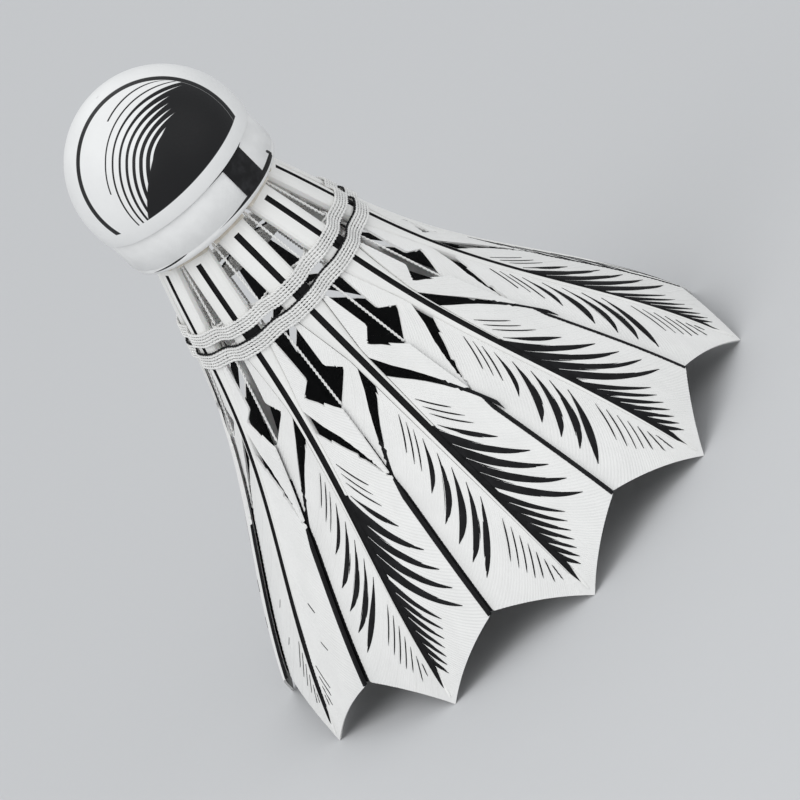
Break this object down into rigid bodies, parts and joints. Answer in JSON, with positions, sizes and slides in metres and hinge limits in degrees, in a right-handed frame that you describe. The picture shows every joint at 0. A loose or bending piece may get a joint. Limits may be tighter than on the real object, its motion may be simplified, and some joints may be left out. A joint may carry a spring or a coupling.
{
  "type": "badminton shuttlecock",
  "caption": "Feathered shuttlecock: rounded, skinned cork with a ribbon, grooved quills bound by two threads, and a flared scalloped skirt of overlapping vanes.",
  "frame": {"origin": "centre of the plane through the ten feather tips, which the shuttlecock stands on", "axes": "+Z along the shuttlecock's axis from the tips to the cork's dome; -Y towards the first feather"},
  "size_m": [0.0754, 0.0794, 0.0847],
  "materials": {
    "quill": "satin horn-like feather shaft with a dark groove",
    "vane": "white feather barbs with dark clefts",
    "thread": "twisted white thread, glued",
    "cork": "bare cork",
    "glue": "clear set glue",
    "skin": "smooth white coated leather",
    "ribbon": "fine woven white ribbon",
    "block": "matt black print on the ribbon"
  },
  "bodies": {
    "root": {"feather_01_shaft": "quill", "feather_01_vane": "vane", "feather_02_shaft": "quill", "feather_02_vane": "vane", "feather_03_shaft": "quill", "feather_03_vane": "vane", "feather_04_shaft": "quill", "feather_04_vane": "vane", "feather_05_shaft": "quill", "feather_05_vane": "vane", "feather_06_shaft": "quill", "feather_06_vane": "vane", "feather_07_shaft": "quill", "feather_07_vane": "vane", "feather_08_shaft": "quill", "feather_08_vane": "vane", "feather_09_shaft": "quill", "feather_09_vane": "vane", "feather_10_shaft": "quill", "feather_10_vane": "vane", "binding_upper": "thread", "binding_lower": "thread", "stays_upper": "thread", "stays_lower": "thread", "cork_body": "cork", "cork_nose": "cork", "cork_joint_glue": "glue", "glue_beads": "glue", "cork_skin": "skin", "ribbon": "ribbon", "ribbon_block": "block"}
  },
  "joints": []
}
